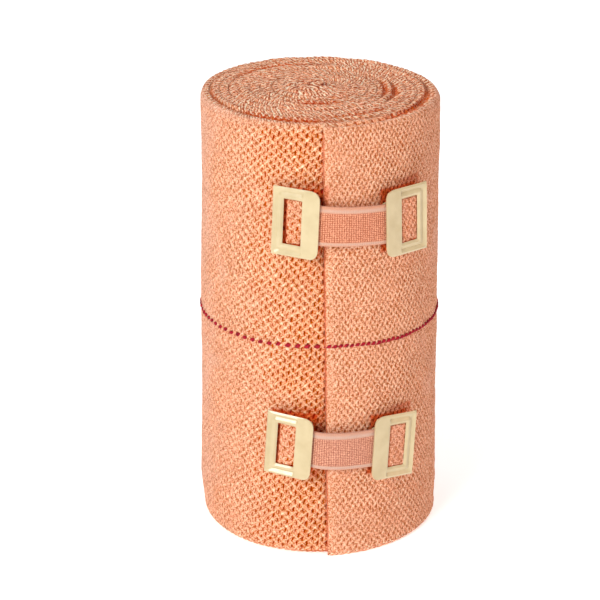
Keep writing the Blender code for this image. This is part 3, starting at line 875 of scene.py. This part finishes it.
def plateMatrix(name):
    angle, reach, height, face, tilt, turn = plates[name]
    angle, face = math.radians(angle), math.radians(face)
    centre = Vector((math.sin(angle) * reach, -math.cos(angle) * reach, height))
    right = Vector((math.cos(face), math.sin(face), 0))
    outward = Vector((math.sin(face), -math.cos(face), 0))
    axes = Matrix((right, Vector((0, 0, 1)), outward)).transposed().to_4x4()
    lean = Matrix.Rotation(-math.radians(tilt), 4, "X")
    return Matrix.Translation(centre) @ axes @ lean @ Matrix.Rotation(math.radians(turn), 4, "Z")


def pick(obj, kind, test):
    # selects the vertices, edges or faces of the edited mesh whose middle passes the test
    bpy.ops.mesh.select_mode(type=kind)
    bpy.ops.mesh.select_all(action="DESELECT")
    bpy.ops.object.mode_set(mode="OBJECT")
    mesh = obj.data
    if kind == "VERT":
        for v in mesh.vertices:
            v.select = bool(test(v.co))
    elif kind == "EDGE":
        for e in mesh.edges:
            e.select = bool(test((mesh.vertices[e.vertices[0]].co + mesh.vertices[e.vertices[1]].co) / 2))
    else:
        for f in mesh.polygons:
            f.select = bool(test(f.center))
    bpy.ops.object.mode_set(mode="EDIT")


def makePlateMesh(material):
    # one plate lying face up, its teeth's edge at -X and its land at +X; pressed from sheet and bent
    half, tall = plate["width"] / 2, plate["height"] / 2
    slotLeft = -half + plate["toothStrip"]
    slotRight = slotLeft + plate["slotWidth"]
    slotTall = plate["slotHeight"] / 2
    tiny = 0.01 * mm
    bpy.ops.object.select_all(action="DESELECT")
    bpy.ops.mesh.primitive_plane_add(size=1)
    obj = bpy.context.object
    obj.name = "hook_plate"
    bpy.ops.object.mode_set(mode="EDIT")
    bpy.ops.mesh.select_all(action="SELECT")
    bpy.ops.transform.resize(value=(plate["width"], plate["height"], 1))
    pick(obj, "VERT", lambda p: p.x > 0)
    bpy.ops.mesh.bevel(offset=plate["bandCorner"], segments=8, affect="VERTICES")
    pick(obj, "VERT", lambda p: p.x < -half + tiny)
    bpy.ops.mesh.bevel(offset=plate["toothCorner"], segments=3, affect="VERTICES")
    near = 0.2 * mm  # lines this close keep a corner or a fold tight
    rim, dish = plate["rim"], plate["dish"]
    channelX = (slotLeft - dish - near - half + rim) / 2
    channelY = (slotTall + dish + near + tall - rim) / 2
    across = (-half + rim, slotLeft - dish - near, slotLeft - dish, slotLeft, slotLeft + 2 * near,
              slotRight - near, slotRight, slotRight + near, slotRight + rim, half - rim, channelX)
    along = (slotTall - 2 * near, slotTall, slotTall + dish, slotTall + dish + near, channelY, tall - rim)
    lines = [(x, 0) for x in across] + [(side * y, 1) for side in (-1, 1) for y in along]
    for place, axis in lines:
        bpy.ops.mesh.select_all(action="SELECT")
        middle, normal = [0, 0, 0], [0, 0, 0]
        middle[axis], normal[axis] = place, 1
        bpy.ops.mesh.bisect(plane_co=middle, plane_no=normal)
    pick(obj, "FACE", lambda p: slotLeft < p.x < slotRight and abs(p.y) < slotTall)
    bpy.ops.mesh.delete(type="FACE")
    toothEnd = -half + plate["toothCorner"] * 0.4 + tiny
    landStart = half - plate["bandCorner"]
    drops = (
        (lambda p: p.x < toothEnd, plate["toothDrop"]),
        (lambda p: abs(p.y) > tall - rim * 0.5 and toothEnd < p.x < landStart, plate["rimDrop"]),
        (lambda p: p.x > half - rim * 0.5 or (p.x > landStart and abs(p.y) > tall - rim * 0.9),
         plate["landRimDrop"]),
        (lambda p: abs(p.x - slotLeft) < tiny and abs(p.y) < slotTall + tiny, plate["dishDrop"]),
        (lambda p: slotLeft + tiny < p.x < slotRight - tiny and abs(abs(p.y) - slotTall) < tiny,
         plate["dishDrop"]),
        (lambda p: abs(p.x - slotRight) < tiny and abs(p.y) < slotTall + tiny, plate["landDishDrop"]),
        (lambda p: abs(p.x - channelX) < tiny and abs(p.y) < channelY + tiny, plate["channel"]),
        (lambda p: channelX + tiny < p.x < slotRight + tiny and abs(abs(p.y) - channelY) < tiny,
         plate["channel"]),
    )
    for test, drop in drops:
        pick(obj, "VERT", test)
        bpy.ops.transform.translate(value=(0, 0, -drop))
    # the tongue out of the slot, folded back under the land
    pick(obj, "EDGE", lambda p: abs(p.x - slotRight) < tiny and abs(p.y) < slotTall - tiny)
    for move in ((0, 0, plate["landDishDrop"] - plate["tongueDrop"]), (plate["tongueLength"], 0, 0)):
        bpy.ops.mesh.extrude_region_move(TRANSFORM_OT_translate={"value": move})
    bpy.ops.transform.resize(value=(1, plate["tongueWidth"] / plate["slotHeight"], 1))
    bpy.ops.mesh.select_all(action="SELECT")
    bpy.ops.mesh.normals_make_consistent(inside=False)
    bpy.ops.object.mode_set(mode="OBJECT")
    if obj.data.polygons[0].normal.z < 0:
        obj.data.flip_normals()
    for kind, values in (
        ("SOLIDIFY", {"thickness": plate["sheet"], "offset": -1, "use_even_offset": True}),
        ("BEVEL", {"width": 0.11 * mm, "segments": 2, "limit_method": "ANGLE",
                   "angle_limit": math.radians(50)}),
        ("SUBSURF", {"levels": 2, "render_levels": 2}),
    ):
        modifier = obj.modifiers.new(kind.lower(), kind)
        for key, value in values.items():
            setattr(modifier, key, value)
        bpy.ops.object.modifier_apply(modifier=modifier.name)
    bpy.ops.object.shade_smooth_by_angle(angle=math.radians(50))
    obj.data.materials.append(material)
    return obj


def makePlates(material):
    pattern = makePlateMesh(material)
    made = []
    for name in plates:
        mesh = pattern.data.copy()
        if name.endswith("right"):  # its teeth's edge is at +X
            mesh.transform(Matrix.Scale(-1, 4, (1, 0, 0)))
            mesh.flip_normals()
        mesh.transform(plateMatrix(name))
        obj = linkNew(name + "_pressed_plate", mesh)
        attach(obj, "root")
        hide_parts(name + "_hook_plate")
        made.append(obj)
    bpy.data.objects.remove(pattern, do_unlink=True)
    return made


def bandLine(clip):
    # the band's middle line with its upward and outward directions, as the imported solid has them
    def under(name):
        side = -1 if name.endswith("right") else 1
        slotEdge = -plate["width"] / 2 + plate["toothStrip"] + plate["slotWidth"]
        place = plateMatrix(name)
        inner = place @ Vector((side * (slotEdge + band["endGap"]), 0, -band["depth"]))
        edge = place @ Vector((side * plate["width"] / 2, 0, -band["depth"]))
        return inner, edge, place.to_3x3() @ Vector((0, 1, 0)), place.to_3x3() @ Vector((0, 0, 1))

    leftInner, leftEdge, leftUp, leftOut = under(clip + "_left")
    rightInner, rightEdge, rightUp, rightOut = under(clip + "_right")
    rows = [(leftInner, leftUp, leftOut)]
    start, end = math.atan2(leftEdge.x, -leftEdge.y), math.atan2(rightEdge.x, -rightEdge.y)
    liftLeft, liftRight = leftEdge.xy.length, rightEdge.xy.length
    steps = 14
    for step in range(steps + 1):
        share = step / steps
        angle = start + (end - start) * share
        level = leftEdge.z + (rightEdge.z - leftEdge.z) * share
        wall = roll["bottomRadius"] + (roll["topRadius"] - roll["bottomRadius"]) * level / roll["width"]
        rest = wall + roll["pitch"] / 2 + band["overRoll"]
        straight = liftLeft + (liftRight - liftLeft) * share
        radius = straight + (rest - straight) * math.sin(math.pi * share) ** band["settling"]
        radial = Vector((math.sin(angle), -math.cos(angle), 0))
        held = abs(2 * share - 1) ** band["untwisting"]
        out = radial.lerp(leftOut if share < 0.5 else rightOut, held)
        up = Vector((0, 0, 1)).lerp(leftUp if share < 0.5 else rightUp, held)
        centre = Vector((radial.x * radius, radial.y * radius, level))
        rows.append((centre, up.normalized(), out.normalized()))
    rows.append((rightInner, rightUp, rightOut))
    return [np.array([list(row[i]) for row in rows]) for i in range(3)]


def smoothLine(values, knots, at):
    # a smooth curve through the values at the knots
    slopes = np.gradient(values, knots, axis=0)
    cell = np.clip(np.searchsorted(knots, at) - 1, 0, len(knots) - 2)
    gap = (knots[cell + 1] - knots[cell])[:, None]
    t = ((at - knots[cell]) / gap[:, 0])[:, None]
    return ((2 * t ** 3 - 3 * t ** 2 + 1) * values[cell] + (t ** 3 - 2 * t ** 2 + t) * gap * slopes[cell]
            + (3 * t ** 2 - 2 * t ** 3) * values[cell + 1] + (t ** 3 - t ** 2) * gap * slopes[cell + 1])


def makeBand(clip, material):
    # woven elastic: ribs across it, warp threads along it, and a corded stripe near each selvedge
    centres, ups, outs = bandLine(clip)
    knots = np.concatenate([[0], np.cumsum(np.linalg.norm(np.diff(centres, axis=0), axis=1))])
    length = knots[-1]
    count = round(length / band["rib"])
    at = np.linspace(0, length, count * 4 + 1)
    centre, up, out = (smoothLine(v, knots, at) for v in (centres, ups, outs))
    up /= np.linalg.norm(up, axis=1)[:, None]
    out /= np.linalg.norm(out, axis=1)[:, None]
    cords = round(band["height"] / band["cord"])
    front = np.linspace(-1, 1, cords * 4 + 1)
    half, thick = band["height"] / 2, band["thickness"] / 2
    section = [(h * half, 1.0, h) for h in front]
    section += [(half, 0.0, 1.0)]
    section += [(h * half, -1.0, h) for h in np.linspace(1, -1, 9)]
    section += [(-half, 0.0, -1.0)]
    places, threads, edges = [], [], []
    distance = at / length * count
    for height, side, share in section:
        fromTop, fromBottom = half - height, half + height
        body = ease(0.0, 0.15 * mm, min(fromTop - band["topStripe"], fromBottom - band["bottomStripe"]))
        cordTurn = height / band["height"] * cords
        ribs, cording = np.abs(np.sin(math.pi * distance)), abs(math.sin(math.pi * cordTurn))
        relief = body * (band["ribRelief"] * ribs + band["cordRelief"] * cording)
        stripe = band["stripeRelief"] * (1 + abs(math.sin(math.pi * cordTurn * 1.3)))
        relief = relief + (1 - body) * stripe
        rounding = 0.0 if min(fromTop, fromBottom) > 0.15 * mm else 0.4
        bulge = side * (thick * (1 - rounding)) + (relief if side > 0 else 0)
        waver = 0.05 * mm * uneven(at, height + 0 * at, 2.6 * mm, 3 if clip == "upper" else 8)
        places.append(centre + up * height + out * (bulge + waver)[:, None])
        threads.append(np.stack([distance, cordTurn + 0 * distance, 0 * distance], -1))
        lines = ((fromTop, *band["topLine"]), (fromBottom, *band["bottomLine"]))
        pale = max(math.exp(-((away / mm - middle) / breadth) ** 2) for away, middle, breadth in lines)
        edges.append(np.stack([value + 0 * distance for value in (pale, 1 - body, fromTop / mm)], -1))
    points = np.stack(places, 1)
    finish = np.zeros(points.shape)
    finish[..., 2] = 0.0 if clip == "upper" else 1.0
    threads, edges = np.stack(threads, 1), np.stack(edges, 1)
    obj = clothMesh(clip + "_woven_elastic", points, threads, edges, finish, material)
    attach(obj, "root")
    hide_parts(clip + "_elastic_band")
    return obj


enamelFinish = {
    "colour": "#D0BD95",
    "thin": "#C6B289",  # where the enamel ran thin
    "roughness": 0.28,
    "coat": 0.5,
    "coatRoughness": 0.07,
}
elasticFinish = {
    "body": "#D48664",
    # painted highlight on the crossings of ribs and cords
    "high": "#F2AC8B",
    "stripe": "#D79578",
    "palest": "#D3A996",  # a greyish line of fine threads in each stripe
    # painted shade between the ribs and cords
    "deep": "#A85434",
    "lowerBandSaturation": 0.92,  # the lower clip's elastic is less saturated and darker
    "roughness": 0.85,
}


def stoveEnamel():
    # stove enamel on pressed steel: an even cream gloss, thinner here and there, faintly rippled
    material, tree, shader = newMaterial("cream stove enamel")
    add = partial(addNode, tree)
    place = add("TexCoord").outputs["Object"]
    # broad unevenness of the dipped coat, 3 mm
    broad = add("TexNoise", None, {"Vector": place, "Scale": 330.0, "Detail": 2.0})
    share = add("MapRange", None, (broad, 0.35, 0.7))
    full, thin = linear(enamelFinish["colour"]), linear(enamelFinish["thin"])
    colour = add("Mix", rgba, {"Factor": share, "A": full, "B": thin})
    # shallow dents from the press and from use, 2 mm
    dents = add("TexNoise", None, {"Vector": place, "Scale": 480.0, "Detail": 1.0})
    bump = add("Bump", None, {"Strength": 0.5, "Distance": 0.0003, "Height": dents})
    setInputs(shader, {"Base Color": colour, "Normal": bump, "Roughness": enamelFinish["roughness"],
                       "Specular IOR Level": 0.35, "Coat Weight": enamelFinish["coat"],
                       "Coat Roughness": enamelFinish["coatRoughness"]})
    return material


def wovenElastic():
    # woven elastic, rubber cores wrapped in dyed yarn: fine ribs, smooth paler stripes by the selvedges
    material, tree, shader = newMaterial("woven elastic tape")
    add = partial(addNode, tree)
    tint = {name: linear(elasticFinish[name]) for name in ("body", "high", "stripe", "palest", "deep")}
    sources = [add("Attribute", {"attribute_name": name}).outputs["Vector"] for name in carried]
    (rib, cord, _), (palest, inStripe, _), (_, _, lower) = (
        add("SeparateXYZ", None, (source,)).outputs for source in sources)
    sines = [add("Math", sine, (add("Math", times, (source, math.pi)),)) for source in (rib, cord)]
    check = add("Math", times, [add("Math", absolute, (value,)) for value in sines])
    # fibres, 0.25 mm
    place = add("TexCoord").outputs["Object"]
    fibre = add("TexNoise", None, {"Vector": place, "Scale": 4000.0, "Detail": 1.0})
    lift = add("MapRange", None, (fibre, 0.35, 0.65, -0.35, 0.35))
    high = add("Math", plus | {"use_clamp": True}, (check, lift))
    # painted shade between the ribs and cords and painted highlight on their crossings, with the fibres'
    # random tone
    ramp = add("ValToRGB", None, {"Fac": high})
    setRamp(ramp, tint["deep"], tint["high"], (0.45,), (tint["body"],))
    paleShare = add("Math", timesPlus | {"use_clamp": True}, (lift, 0.55, palest))
    stripe = add("Mix", rgba, {"Factor": paleShare, "A": tint["stripe"], "B": tint["palest"]})
    colour = add("Mix", rgba, {"Factor": inStripe, "A": ramp, "B": stripe})
    less = add("MapRange", None, (lower, 0.0, 1.0, 1.0, elasticFinish["lowerBandSaturation"]))
    dimmer = add("MapRange", None, (lower, 0.0, 1.0, 0.98, 0.92))
    colour = add("HueSaturation", None, {"Saturation": less, "Value": dimmer, "Color": colour})
    bump = add("Bump", None, {"Strength": 0.6, "Distance": 0.0001, "Height": high})
    setInputs(shader, {"Base Color": colour, "Normal": bump, "Roughness": elasticFinish["roughness"],
                       "Sheen Weight": 0.15})
    return material


clothPieces = makeCloth(crepeCotton())
print("cloth made:", [(o.name, len(o.data.polygons)) for o in clothPieces])
threadPiece = makeThread(threadCotton(), *lapStations())
print("middle thread made:", len(threadPiece.data.polygons))
platePieces = makePlates(stoveEnamel())
print("plates made:", [(o.name, len(o.data.polygons)) for o in platePieces])
elastic = wovenElastic()
bandPieces = [makeBand(clip, elastic) for clip in ("upper", "lower")]
print("bands made:", [(o.name, len(o.data.polygons)) for o in bandPieces])
